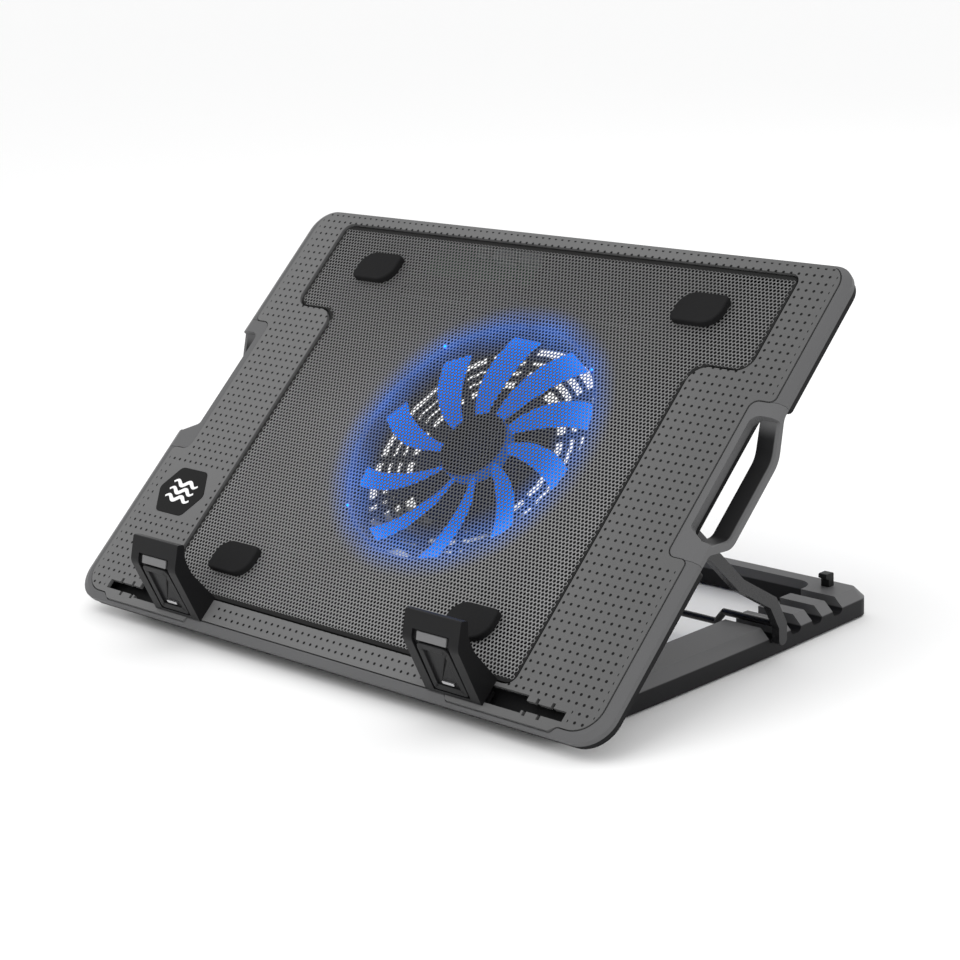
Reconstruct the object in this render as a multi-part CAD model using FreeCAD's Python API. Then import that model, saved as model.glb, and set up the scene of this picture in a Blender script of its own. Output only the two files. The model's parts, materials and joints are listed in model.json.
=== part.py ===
import FreeCAD, Part
import math
import os

"""Laptop cooling pad: a tilting fan tray on an open base frame, held up by a folding prop bail.

Two frames are used. The world frame is +X to the right, +Y to the rear, +Z up, and the pad stands on z = 0.
The tray frame is u along the tray's width, v up the slope from the tray's front edge, and n out of the
top plate, whose surface is n = 0. Tray pieces are modelled lying flat and are tilted about the hinge.
"""

V = FreeCAD.Vector

# ---- driving dimensions, millimetres and degrees ----
tilt = 43.0                     # tray angle in the steepest groove
plate_front_height = 11.4       # height of the plate's front edge over the table

tray_width = 380.0
tray_depth = 270.0
tray_corner_front = 17.0
tray_corner_rear = 14.0

plate_thickness = 2.2
seam_side = 6.2                 # from the tray's edge to the plate's edge
seam_front = 4.8
seam_rear = 1.6
seam_gap = 0.6
tab_inner = 94.0                # the plate reaches further forward between these
tab_outer = 160.5
tab_front = 1.7

rim_top = -0.4
rim_shoulder = -2.2
rim_bottom = -5.2
rim_slope_width = 3.5
rim_ledge = 1.4

shell_inset = 1.0
shell_wall = 1.8
shell_bottom = -9.3

mesh_front_half = 128.9
mesh_rear_half = 161.1
mesh_front = 17.3
mesh_rear = 261.4
mesh_shoulder = 202.0
mesh_recess = 0.9
mesh_thickness = 0.8
mesh_flange = 1.4
mesh_skirt = 0.8                # wall of the sheet's skirt and flange

handle_front = 98.7
handle_rear = 188.2
handle_inner = 171.2            # half-width of the plate beside a handle
handle_strip = 4.6
handle_drop = 17.2              # how far the grip hangs below the plate
handle_grip_width = 11.6
handle_thickness = 3.2
handle_bulge = 1.0

hinge_slope_position = 21.5     # v of the hinge axis
hinge_depth = -12.0             # n of the hinge axis and of the bail's pivots
hinge_knuckle_radius = 4.0
hinge_pin_radius = 2.0
lug_radius = 3.2
lug_relief = 0.5
running_clearance = 0.05
lug_inner = 100.2
lug_outer = 111.8
ear_thickness = 8.0
side_clearance = 0.4

link_length = 100.9             # hinge to bail pivot, and bail pivot to crossbar
leg_inner = 158.9
leg_thickness = 4.4
leg_width = 6.4
bail_pin_radius = 2.0
bail_eye_radius = 4.2
crossbar_radius = 1.8
crossbar_clearance = 0.3        # between the crossbar and the tops of the teeth
crossbar_dip = 6.0
leg_channel_gap = 1.0

base_bottom = 1.0
base_top = 15.2
base_half_width = 156.0
base_bow = 2.0
base_length = 237.0
base_corner = 9.0
base_bevel = 5.0
rail_inner = 130.5
front_beam = 28.0
rear_beam = 13.3
corner_block = 10.0
groove_count = 4
groove_pitch = 18.2
groove_width = 8.8
groove_floor = 7.4
foot_length = 24.0
foot_width = 9.0
foot_recess = 0.8

fan_u = 9.0
fan_v = 143.5
fan_radius = 69.8
fan_blades = 10
hub_radius = 20.0
hub_top = -14.0
blade_top = -14.6
blade_bottom = -21.2
blade_thickness = 1.5
fan_ring_inner = 72.4
fan_ring_wall = 1.8
well_clearance = 0.5
well_bottom = -26.0

pad_length = 29.0
pad_width = 18.0
pad_top = 3.0
pad_rear_u = 114.5
pad_rear_v = 233.5
pad_front_u = 86.0
pad_front_v = 42.4

stopper_u = 101.0
stopper_width = 36.0
stopper_travel = 46.0
stopper_lift = 0.15
stopper_foot_v = 3.6
stopper_brow_v = 13.8
stopper_brow_n = 32.0
stopper_lip_v = 25.2
stopper_lip_n = 39.6
stopper_recess_start = 2.4
stopper_recess_over = 5.0       # how far the recess climbs past the brow
stopper_recess_depth = 1.4
stopper_recess_width = 24.0
slot_v = 10.0
slot_width = 5.2
slot_end = 165.4
pocket_inner = 112.0
pocket_outer = 141.0
pocket_front = 5.9
pocket_rear = 15.4
notches_rear = (147.2, 156.6)
notches_front = (143.2, 152.0)
notch_width = 1.9
notch_length = 5.0
stem_length = 16.0
slider_length = 34.0
slider_thickness = 1.8

badge_u = -155.4
badge_v = 72.7
badge_half_width = 18.4
badge_half_height = 14.4
badge_thickness = 0.8

hub_case_left = -98.0
hub_case_right = -6.0
hub_case_front = 236.0
hub_case_bottom = -15.6
hub_wall = 1.4
usb_positions = (-20.0, -40.0)
usb_width = 13.2
usb_height = 5.6
usb_depth = 14.0
inlet_position = -58.0
inlet_radius = 3.4
switch_position = -78.0
switch_travel = 3.0

hook_x = 138.0
hook_size = 5.0
hook_height = 7.4

screw_head_radius = 2.6
screw_head_height = 1.3
screw_shank_radius = 1.0
screw_hole_radius = 1.15
boss_radius = 3.6

# ---- values worked out from them ----
half_width = tray_width / 2
plate_half = half_width - seam_side
plate_rear = tray_depth - seam_rear
sine = math.sin(math.radians(tilt))
cosine = math.cos(math.radians(tilt))
hinge_y = hinge_slope_position * cosine - hinge_depth * sine
hinge_z = plate_front_height + hinge_slope_position * sine + hinge_depth * cosine
crossbar_rest_y = hinge_y + 2 * link_length * cosine
pivot_v = hinge_slope_position + link_length
shell_floor = shell_bottom + shell_wall
base_front = hinge_y - hinge_knuckle_radius - 0.2
base_rear = base_front + base_length
mesh_top = -mesh_recess
mesh_bottom = mesh_top - mesh_thickness
well_radius = fan_ring_inner + fan_ring_wall + 2.4
leg_outer = leg_inner + leg_thickness


# ---- drawing helpers ----
def rounded_wire(points):
    """A closed wire in the XY plane through (x, y, corner radius) points."""
    starts, ends, middles = [], [], []
    count = len(points)
    for i, (x, y, radius) in enumerate(points):
        before = points[i - 1]
        after = points[(i + 1) % count]
        here = V(x, y, 0)
        back = (V(before[0], before[1], 0) - here).normalize()
        ahead = (V(after[0], after[1], 0) - here).normalize()
        turn = math.pi - back.getAngle(ahead)
        if radius <= 0 or turn < 1e-4:
            starts.append(here)
            ends.append(here)
            middles.append(None)
            continue
        reach = radius * math.tan(turn / 2)
        centre_distance = radius / math.cos(turn / 2)
        inward = (back + ahead).normalize()
        starts.append(here + back * reach)
        ends.append(here + ahead * reach)
        middles.append(here + inward * (centre_distance - radius))
    edges = []
    for i in range(count):
        if middles[i] is not None:
            edges.append(Part.Arc(starts[i], middles[i], ends[i]).toShape())
        following = starts[(i + 1) % count]
        if ends[i].distanceToPoint(following) > 1e-6:
            edges.append(Part.LineSegment(ends[i], following).toShape())
    return Part.Wire(edges)


def slab(points, low, high):
    """A plate with a rounded outline between two heights."""
    wire = rounded_wire(points)
    wire.translate(V(0, 0, low))
    return Part.Face(wire).extrude(V(0, 0, high - low))


def profile_along_x(points, x0, x1):
    """A solid whose section is drawn in the YZ plane, from x0 to x1."""
    wire = rounded_wire(points)
    wire.Placement = FreeCAD.Placement(V(x0, 0, 0), FreeCAD.Rotation(V(1, 1, 1), 120))
    return Part.Face(wire).extrude(V(x1 - x0, 0, 0))


def block(x0, x1, y0, y1, z0, z1):
    return Part.makeBox(x1 - x0, y1 - y0, z1 - z0, V(x0, y0, z0))


def disc(x, y, radius, low, high):
    return Part.makeCylinder(radius, high - low, V(x, y, low))


def ring(x, y, inner, outer, low, high):
    return disc(x, y, outer, low, high).cut(disc(x, y, inner, low - 1, high + 1))


def rod_along_x(y, z, radius, x0, x1):
    return Part.makeCylinder(radius, x1 - x0, V(x0, y, z), V(1, 0, 0))


def fuse(shapes):
    result = shapes[0].fuse(shapes[1:]) if len(shapes) > 1 else shapes[0]
    return result.removeSplitter()


def mirrored(shape):
    return shape.mirror(V(0, 0, 0), V(1, 0, 0))


def both_sides(points):
    """The right half of an outline, front to rear, closed with its mirror image."""
    return points + [(-x, y, radius) for x, y, radius in reversed(points)]


def tilted(shape):
    """Moves a piece from the tray frame to its place on the tilted tray."""
    moved = shape.copy()
    moved.translate(V(0, -hinge_slope_position, -hinge_depth))
    moved.rotate(V(0, 0, 0), V(1, 0, 0), tilt)
    moved.translate(V(0, hinge_y, hinge_z))
    return moved


def stadium_along_x(start, end, radius, x0, x1):
    """A straight bar with round ends, drawn in the YZ plane and given a thickness along X."""
    ends = [rod_along_x(y, z, radius, x0, x1) for y, z in (start, end)]
    length = math.hypot(end[0] - start[0], end[1] - start[1])
    bar = block(x0, x1, 0, length, -radius, radius)
    bar.rotate(V(0, 0, 0), V(1, 0, 0), math.degrees(math.atan2(end[1] - start[1], end[0] - start[0])))
    bar.translate(V(0, start[0], start[1]))
    return fuse([bar] + ends)


def rod_through(points, radius):
    """A round rod bent through the given points."""
    pieces = []
    for start, end in zip(points, points[1:]):
        run = end - start
        pieces.append(Part.makeCylinder(radius, run.Length, start, run))
    for point in points[1:-1]:
        pieces.append(Part.makeSphere(radius, point))
    return fuse(pieces)


def outline(points, grow=0.0):
    """A flat face with the given outline, grown or shrunk all round."""
    face = Part.Face(rounded_wire(points))
    if grow:
        face = Part.Face(face.OuterWire.makeOffset2D(grow))
    return face


def sheet(points, grow, low, high):
    face = outline(points, grow)
    face.translate(V(0, 0, low))
    return face.extrude(V(0, 0, high - low))


# ---- outlines in the tray frame ----
tray_outline = both_sides([
    (half_width, 0, tray_corner_front),
    (half_width, tray_depth, tray_corner_rear),
])
plate_outline = both_sides([
    (tab_inner, seam_front, 1.5),
    (tab_inner + 2.0, tab_front, 1.5),
    (tab_outer, tab_front, 3.0),
    (tab_outer + 4.0, seam_front, 3.0),
    (plate_half, seam_front, tray_corner_front - 3.0),
    (plate_half, handle_front, 3.0),
    (handle_inner, handle_front, 5.0),
    (handle_inner, handle_rear, 5.0),
    (plate_half, handle_rear, 3.0),
    (plate_half, plate_rear, tray_corner_rear - 3.0),
])
mesh_outline = both_sides([
    (mesh_front_half, mesh_front, 6.0),
    (mesh_front_half, mesh_shoulder, 10.0),
    (mesh_rear_half, mesh_shoulder, 9.0),
    (mesh_rear_half, mesh_rear, 6.0),
])
shell_side = half_width - shell_inset
shell_notch = handle_inner + 3.2
shell_outline = both_sides([
    (shell_side, shell_inset, tray_corner_front - shell_inset),
    (shell_side, handle_front - 0.3, 2.0),
    (shell_notch, handle_front - 0.3, 3.0),
    (shell_notch, handle_rear + 0.3, 3.0),
    (shell_side, handle_rear + 0.3, 2.0),
    (shell_side, tray_depth - shell_inset, tray_corner_rear - shell_inset),
])

screw_places = [
    (side * u, v) for side in (-1, 1)
    for u, v in ((148.0, 31.0), (148.0, 104.0), (148.0, 178.0), (173.0, 244.0))
]
boss_split = -5.2
fan_screw_places = [
    (fan_u + 12.5 * math.cos(math.radians(a)), fan_v + 12.5 * math.sin(math.radians(a)))
    for a in (30, 150, 270)
]


# ---- top plate ----
def top_plate():
    plate = sheet(plate_outline, 0, -plate_thickness, 0)
    bosses = [disc(u, v, boss_radius, boss_split, -plate_thickness) for u, v in screw_places]
    plate = fuse([plate] + bosses)
    cuts = [sheet(mesh_outline, 0, -plate_thickness - 1, 1)]
    cuts += [disc(u, v, screw_shank_radius, boss_split - 1, -1.2) for u, v in screw_places]
    slot_start = stopper_u - stem_length / 2 - side_clearance
    for side in (-1, 1):
        slot = block(slot_start, slot_end, slot_v - slot_width / 2, slot_v + slot_width / 2,
                     -plate_thickness - 1, 1)
        pocket = block(pocket_inner, pocket_outer, pocket_front, pocket_rear, -plate_thickness - 1, 1)
        half_notch = notch_width / 2
        notches = [
            block(x - half_notch, x + half_notch, slot_v, slot_v + notch_length, -plate_thickness - 1, 1)
            for x in notches_rear
        ]
        notches += [
            block(x - half_notch, x + half_notch, slot_v - notch_length, slot_v, -plate_thickness - 1, 1)
            for x in notches_front
        ]
        group = fuse([slot, pocket] + notches)
        cuts.append(group if side > 0 else mirrored(group))
    cuts.append(badge_shape(badge_recess_gap, -badge_thickness + badge_proud, 1))
    return plate.cut(cuts)


# ---- badge ----
badge_proud = 0.2
badge_recess_gap = 0.15
badge_corner = 4.0
badge_shoulder = 10.5


def badge_shape(grow, low, high):
    points = []
    for u, v in ((1, 0), (0, 1), (-1, 0), (0, -1)):
        if u:
            points.append((badge_u + u * badge_half_width, badge_v, badge_corner))
        else:
            first = badge_shoulder * v
            points.append((badge_u + first, badge_v + v * badge_half_height, badge_corner))
            points.append((badge_u - first, badge_v + v * badge_half_height, badge_corner))
    return sheet(points, grow, low, high)


def badge():
    return badge_shape(0, -badge_thickness + badge_proud, badge_proud)


# ---- rim and handles ----
def rim_ring():
    """The whole sloping rim, handles' inner strips included, before it is divided."""
    body = sheet(tray_outline, 0, rim_bottom, rim_shoulder)
    low_wire = rounded_wire(tray_outline)
    low_wire.translate(V(0, 0, rim_shoulder))
    high_wire = outline(tray_outline, -rim_slope_width).OuterWire
    high_wire.translate(V(0, 0, rim_top))
    slope = Part.makeLoft([low_wire, high_wire], True, True)
    body = fuse([body, slope])
    upper = sheet(plate_outline, seam_gap, -plate_thickness, 2)
    lower = sheet(plate_outline, -rim_ledge, rim_bottom - 1, 2)
    return body.cut([upper, lower])


handle_gap_outline = [
    (handle_inner + handle_strip, handle_front + 17.3, 3.0),
    (half_width - 4.4, handle_front + 11.3, 0),
    (half_width + 6, handle_front + 11.3, 0),
    (half_width + 6, handle_rear - 8.2, 0),
    (handle_inner + handle_strip, handle_rear - 8.2, 5.0),
]


def handle_zone(grow):
    return block(handle_inner - 4, half_width + 5, handle_front - grow, handle_rear + grow, -30, 5)


def rim_frame():
    ring_shape = rim_ring()
    zone = handle_zone(0.0)
    rim = ring_shape.cut([zone, mirrored(zone)])
    return rim


def handle_right():
    joint_gap = 0.2
    part = rim_ring().common(handle_zone(-joint_gap))
    gap = sheet(handle_gap_outline, 0, -30, 5)
    part = part.cut(gap)
    front = handle_front + joint_gap
    rear = handle_rear - joint_gap
    floor_top = handle_thickness - handle_drop
    strap = profile_along_x([
        (front, rim_shoulder, 0),
        (front + 9, rim_shoulder, 4),
        (front + 21, floor_top, 7),
        (front + 66, floor_top, 14),
        (rear - 5, rim_shoulder, 9),
        (rear, rim_shoulder, 0),
        (rear, rim_bottom, 0),
        (rear - 4.5, rim_bottom, 7),
        (front + 67.5, -handle_drop, 16),
        (front + 18.5, -handle_drop, 9),
        (front + 7, rim_bottom, 4),
        (front, rim_bottom, 0),
    ], half_width - handle_grip_width, half_width)
    handle = fuse([part, strap])
    return handle


# ---- mesh panel ----
def mesh_panel():
    edge_gap = 1.2
    flange_top = -plate_thickness
    flange_bottom = flange_top - mesh_skirt
    panel = sheet(mesh_outline, -edge_gap, mesh_bottom, mesh_top)
    skirt_wall = sheet(mesh_outline, -edge_gap, flange_bottom, mesh_top).cut(
        sheet(mesh_outline, -edge_gap - mesh_skirt, flange_bottom - 1, mesh_top + 1))
    flange = sheet(mesh_outline, mesh_flange, flange_bottom, flange_top).cut(
        sheet(mesh_outline, -edge_gap - mesh_skirt, flange_bottom - 1, flange_top + 1))
    return fuse([panel, skirt_wall, flange])


# ---- laptop pads ----
def laptop_pads():
    pads = []
    places = [(side * pad_rear_u, pad_rear_v) for side in (-1, 1)]
    places += [(side * pad_front_u, pad_front_v) for side in (-1, 1)]
    for u, v in places:
        x0, x1 = u - pad_length / 2, u + pad_length / 2
        y0, y1 = v - pad_width / 2, v + pad_width / 2
        pad = slab([(x0, y0, 3), (x1, y0, 10), (x1, y1, 3), (x0, y1, 10)], mesh_top, pad_top)
        top_edges = [e for e in pad.Edges if all(abs(p.Point.z - pad_top) < 1e-6 for p in e.Vertexes)]
        pads.append(pad.makeFillet(1.0, top_edges))
    return Part.makeCompound(pads)


# ---- bottom shell with the fan well ----
channel_inner = leg_inner - leg_channel_gap
channel_outer = leg_outer + leg_channel_gap
channel_front = pivot_v - 8.0
channel_rear = pivot_v + link_length + 8.0
channel_cover = 1.4
channel_cover_gap = 0.4         # under the sheet's flange
channel_roof = -plate_thickness - mesh_skirt - channel_cover_gap - channel_cover
bracket_thickness = 4.4
grille_inner = 43.0
grille_outer = 70.0
grille_rings = (50.0, 56.5, 63.0)
grille_ring_width = 2.8
spoke_width = 3.4
spoke_count = 15


def fan_well():
    well = disc(fan_u, fan_v, well_radius, well_bottom, shell_floor)
    inside = disc(fan_u, fan_v, well_radius - 1.9, well_bottom + shell_wall, shell_floor + 1)
    return well, inside


def intake_cuts():
    open_ring = ring(fan_u, fan_v, grille_inner, grille_outer, well_bottom - 1, well_bottom + shell_wall + 1)
    kept = [
        ring(fan_u, fan_v, r - grille_ring_width / 2, r + grille_ring_width / 2, well_bottom - 2,
             well_bottom + shell_wall + 2)
        for r in grille_rings
    ]
    for i in range(spoke_count):
        spoke = block(fan_u, fan_u + grille_outer + 2, fan_v - spoke_width / 2, fan_v + spoke_width / 2,
                      well_bottom - 2, well_bottom + shell_wall + 2)
        spoke.rotate(V(fan_u, fan_v, 0), V(0, 0, 1), 360.0 * i / spoke_count)
        kept.append(spoke)
    return open_ring.cut(kept)


def bottom_shell():
    outer = sheet(shell_outline, 0, shell_bottom, rim_bottom)
    inner = sheet(shell_outline, -shell_wall, shell_floor, rim_bottom + 1)
    tray = outer.cut(inner)
    well, well_inside = fan_well()
    added = [well]
    added += [disc(u, v, boss_radius + 0.8, shell_bottom, boss_split) for u, v in screw_places]
    removed = [well_inside, intake_cuts()]
    for u, v in screw_places:
        removed.append(disc(u, v, screw_hole_radius, shell_bottom - 1, boss_split + 1))
        removed.append(disc(u, v, screw_head_radius + 0.3, shell_bottom - 1,
                            shell_bottom + screw_head_height))
    for u, v in fan_screw_places:
        removed.append(disc(u, v, screw_hole_radius, well_bottom - 1, well_bottom + shell_wall + 1))
    for side in (-1, 1):
        roof = block(channel_inner - shell_wall, channel_outer + shell_wall, channel_front - shell_wall,
                     channel_rear + shell_wall, shell_bottom, channel_roof + channel_cover)
        channel = block(channel_inner, channel_outer, channel_front, channel_rear, -40, channel_roof)
        brackets = []
        for x0 in (channel_inner - bracket_thickness, channel_outer):
            cheek = fuse([
                rod_along_x(pivot_v, hinge_depth, bail_eye_radius, x0, x0 + bracket_thickness),
                block(x0, x0 + bracket_thickness, pivot_v - bail_eye_radius, pivot_v + bail_eye_radius,
                      hinge_depth, shell_bottom + 0.5),
            ])
            brackets.append(cheek)
        pin_hole = rod_along_x(pivot_v, hinge_depth, bail_pin_radius,
                               channel_inner - bracket_thickness - 1, channel_outer + bracket_thickness + 1)
        ears = []
        for x0 in (lug_inner - side_clearance - ear_thickness, lug_outer + side_clearance):
            ears.append(fuse([
                rod_along_x(hinge_slope_position, hinge_depth, hinge_knuckle_radius, x0, x0 + ear_thickness),
                block(x0, x0 + ear_thickness, hinge_slope_position - hinge_knuckle_radius,
                      hinge_slope_position + hinge_knuckle_radius, hinge_depth, shell_bottom + 0.5),
            ]))
        ear_hole = rod_along_x(hinge_slope_position, hinge_depth, hinge_pin_radius + running_clearance,
                               lug_inner - ear_thickness - 2, lug_outer + ear_thickness + 2)
        relief = rod_along_x(hinge_slope_position, hinge_depth, lug_radius + lug_relief,
                             lug_inner - side_clearance, lug_outer + side_clearance)
        flip = mirrored if side < 0 else (lambda s: s)
        added += [flip(s) for s in [roof] + brackets + ears]
        removed += [flip(s) for s in (channel, pin_hole, ear_hole, relief)]
    removed.append(block(hub_case_left - 0.2, hub_case_right + 0.2, hub_case_front - 0.2, tray_depth + 1,
                         shell_bottom - 1, rim_bottom + 1))
    return fuse([tray] + added).cut(removed)


# ---- tray feet, screws and pins ----
tray_foot_u = half_width - 13.0


def tray_feet():
    places = (-tray_foot_u, tray_foot_u)
    return Part.makeCompound([disc(u, 9.5, 3.0, shell_bottom - 1.8, shell_bottom) for u in places])


def screw(u, v, head_low, shank_top):
    head = disc(u, v, screw_head_radius, head_low, head_low + screw_head_height)
    shank = disc(u, v, screw_shank_radius, head_low + screw_head_height, shank_top)
    cross = fuse([
        block(u - 1.5, u + 1.5, v - 0.3, v + 0.3, head_low - 1, head_low + 0.6),
        block(u - 0.3, u + 0.3, v - 1.5, v + 1.5, head_low - 1, head_low + 0.6),
    ])
    return fuse([head, shank]).cut(cross)


def shell_screws():
    return Part.makeCompound([screw(u, v, shell_bottom, -1.6) for u, v in screw_places])


def fan_screws():
    return Part.makeCompound([
        screw(u, v, well_bottom - screw_head_height, well_bottom + shell_wall + fan_plate - 0.2)
        for u, v in fan_screw_places
    ])


def hinge_pins():
    reach = ear_thickness + side_clearance - 0.2
    pins = [rod_along_x(hinge_slope_position, hinge_depth, hinge_pin_radius,
                        lug_inner - reach, lug_outer + reach)]
    pins.append(mirrored(pins[0]))
    return Part.makeCompound(pins)


def bail_pins():
    reach = bracket_thickness - 0.2
    pins = [rod_along_x(pivot_v, hinge_depth, bail_pin_radius, channel_inner - reach, channel_outer + reach)]
    pins.append(mirrored(pins[0]))
    return Part.makeCompound(pins)


# ---- fan ----
fan_plate = 1.6
fan_frame_low = well_bottom + shell_wall
fan_frame_top = -12.0
fan_plate_top = fan_frame_low + fan_plate
bearing_outer = 4.0
bearing_tube = 5.4
shaft_radius = 1.5
shaft_bottom = fan_plate_top + 0.4
hub_skin = 1.6
magnet_thickness = 1.5
blade_sections = (
    # radius, angle, chord, pitch
    (18.8, 9.5, 4.2, 40.0),
    (28.0, 7.4, 8.2, 30.0),
    (40.0, 3.0, 12.0, 22.0),
    (55.0, -3.5, 14.4, 18.0),
    (69.4, -11.0, 15.0, 15.0),
)


def fan_frame():
    hoop = ring(fan_u, fan_v, fan_ring_inner, fan_ring_inner + fan_ring_wall, fan_frame_low, fan_frame_top)
    plate = disc(fan_u, fan_v, 18.0, fan_frame_low, fan_plate_top)
    tube = disc(fan_u, fan_v, bearing_tube, fan_frame_low, hub_top - hub_skin - 1.4)
    pieces = [hoop, plate, tube]
    for i in range(4):
        arm = block(fan_u, fan_u + fan_ring_inner + 0.6, fan_v - 2.2, fan_v + 2.2,
                    fan_frame_low, fan_plate_top)
        arm.rotate(V(fan_u, fan_v, 0), V(0, 0, 1), 45 + 90 * i)
        pieces.append(arm)
    bore = disc(fan_u, fan_v, bearing_outer, fan_plate_top, 0)
    pilots = [
        disc(u, v, screw_shank_radius, fan_frame_low - 1, fan_plate_top + 1)
        for u, v in fan_screw_places
    ]
    return fuse(pieces).cut([bore] + pilots)


def fan_bearing():
    return ring(fan_u, fan_v, shaft_radius + running_clearance, bearing_outer, fan_plate_top,
                hub_top - hub_skin - 1.8)


def fan_stator():
    low, high = hub_top - 6.6, hub_top - hub_skin - 1.4
    pieces = [disc(fan_u, fan_v, 9.0, low, high)]
    for i in range(6):
        arm = block(fan_u + 6.5, fan_u + 15.0, fan_v - 1.6, fan_v + 1.6, low + 0.8, high - 0.8)
        coil = block(fan_u + 9.4, fan_u + 13.4, fan_v - 2.8, fan_v + 2.8, low + 0.3, high - 0.3)
        for piece in (arm, coil):
            piece.rotate(V(fan_u, fan_v, 0), V(0, 0, 1), 60 * i)
            pieces.append(piece)
    return fuse(pieces).cut(disc(fan_u, fan_v, bearing_tube, low - 1, high + 1))


def blade_section(radius, angle, chord, pitch):
    """A thin tilted rectangle standing across the radius at one place along a blade."""
    slope = math.radians(pitch)
    middle = (blade_top + blade_bottom) / 2
    along = (math.cos(slope), math.sin(slope))
    across = (-math.sin(slope), math.cos(slope))
    turn = math.radians(angle)
    radial = V(math.cos(turn), math.sin(turn), 0)
    tangent = V(-math.sin(turn), math.cos(turn), 0)
    corners = []
    for a, b in ((-1, -1), (1, -1), (1, 1), (-1, 1)):
        side = a * chord / 2 * along[0] + b * blade_thickness / 2 * across[0]
        rise = a * chord / 2 * along[1] + b * blade_thickness / 2 * across[1]
        corners.append(radial * radius + tangent * side + V(fan_u, fan_v, middle + rise))
    return Part.makePolygon(corners + [corners[0]])


def fan_rotor():
    cup = disc(fan_u, fan_v, hub_radius, blade_bottom - 0.2, hub_top)
    rim_edges = [e for e in cup.Edges if all(abs(p.Point.z - hub_top) < 1e-6 for p in e.Vertexes)]
    cup = cup.makeFillet(1.2, rim_edges)
    inside = disc(fan_u, fan_v, hub_radius - hub_skin, blade_bottom - 1, hub_top - hub_skin)
    blade = Part.makeLoft([blade_section(*section) for section in blade_sections], True, False)
    blades = []
    for i in range(fan_blades):
        copy = blade.copy()
        copy.rotate(V(fan_u, fan_v, 0), V(0, 0, 1), 360.0 * i / fan_blades)
        blades.append(copy)
    boss = disc(fan_u, fan_v, 3.4, hub_top - hub_skin - 0.8, hub_top - hub_skin)
    bore = disc(fan_u, fan_v, shaft_radius, hub_top - hub_skin - 1.5, hub_top - hub_skin + 0.8)
    hub = fuse([cup.cut(inside), boss]).cut(bore)
    keep = ring(fan_u, fan_v, hub_radius - hub_skin / 2, fan_radius, blade_bottom - 1, blade_top + 1)
    trimmed = [b.common(keep) for b in blades]
    return fuse([hub] + trimmed)


def fan_shaft():
    return disc(fan_u, fan_v, shaft_radius, shaft_bottom, hub_top - hub_skin + 0.8)


def magnet_ring():
    outer = hub_radius - hub_skin
    return ring(fan_u, fan_v, outer - magnet_thickness, outer, blade_bottom, hub_top - hub_skin)


light_ring_height = 2.4


def light_ring():
    return ring(fan_u, fan_v, fan_ring_inner, fan_ring_inner + fan_ring_wall, fan_frame_top,
                fan_frame_top + light_ring_height)


def led_lamps():
    lamps = []
    low = fan_frame_top + light_ring_height
    middle = fan_ring_inner + fan_ring_wall / 2
    for i in range(4):
        turn = math.radians(90 * i + 45)
        u, v = fan_u + middle * math.cos(turn), fan_v + middle * math.sin(turn)
        lamps.append(disc(u, v, 0.8, low, low + 1.2))
    return Part.makeCompound(lamps)


wire_radius = 0.6


def fan_wires():
    wires = []
    level = shell_floor + wire_radius
    for i in (0, 1):
        shift = 1.6 * i
        wires.append(rod_through([
            V(fan_u - 5 + shift, fan_v + fan_ring_inner, fan_frame_top + light_ring_height),
            V(fan_u - 5 + shift, fan_v + fan_ring_inner, level),
            V(fan_u - 6 + shift, fan_v + well_radius + 2, level),
            V(-24.0 + shift, hub_case_front - 4, level),
            V(-26.0 + shift, hub_case_front + 5, level),
        ], wire_radius))
    return Part.makeCompound(wires)


# ---- control box at the tray's rear edge ----
case_rear = tray_depth - shell_inset
case_top = rim_bottom
socket_middle = (hub_case_bottom + case_top) / 2
board_low = hub_case_bottom + hub_wall
board_thickness = 1.2
socket_low = board_low + board_thickness
switch_width = 4.0
switch_height = 2.6


def control_case():
    box = block(hub_case_left, hub_case_right, hub_case_front, case_rear, hub_case_bottom, case_top)
    inside = block(hub_case_left + hub_wall, hub_case_right - hub_wall, hub_case_front + hub_wall,
                   case_rear - hub_wall, hub_case_bottom + hub_wall, case_top + 1)
    cuts = [inside]
    for x in usb_positions:
        cuts.append(block(x - usb_width / 2 - 0.2, x + usb_width / 2 + 0.2, case_rear - 3, case_rear + 1,
                          socket_low - 0.1, socket_low + usb_height + 0.2))
    inlet_start = V(inlet_position, case_rear - 4, socket_low + inlet_radius)
    inlet = Part.makeCylinder(inlet_radius, 6, inlet_start, V(0, 1, 0))
    cuts.append(inlet)
    reach = switch_width / 2 + switch_travel / 2 + 0.3
    cuts.append(block(switch_position - reach, switch_position + reach, case_rear - 3, case_rear + 1,
                      socket_middle - switch_height / 2 - 0.3, socket_middle + switch_height / 2 + 0.3))
    cuts.append(block(-28.0, -22.0, hub_case_front - 1, hub_case_front + 3, shell_floor - 0.4, case_top + 1))
    return box.cut(cuts)


def controller_board():
    board = block(hub_case_left + 3, hub_case_right - 3, hub_case_front + 3, case_rear - hub_wall - 0.3,
                  board_low, socket_low)
    chips = [
        block(-42.0, -34.0, hub_case_front + 6, hub_case_front + 12, socket_low, socket_low + 1.4),
        block(-64.0, -59.0, hub_case_front + 6, hub_case_front + 11, socket_low, socket_low + 2.0),
        block(-28.0, -24.0, hub_case_front + 6, hub_case_front + 10, socket_low, shell_floor),
    ]
    return fuse([board] + chips)


def usb_sockets():
    sockets = []
    for x in usb_positions:
        outer = block(x - usb_width / 2, x + usb_width / 2, case_rear - usb_depth, case_rear - 0.2,
                      socket_low, socket_low + usb_height)
        inner = block(x - usb_width / 2 + 0.5, x + usb_width / 2 - 0.5,
                      case_rear - usb_depth + 1.0, case_rear + 1,
                      socket_low + 0.5, socket_low + usb_height - 0.5)
        sockets.append(outer.cut(inner))
    return Part.makeCompound(sockets)


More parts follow.
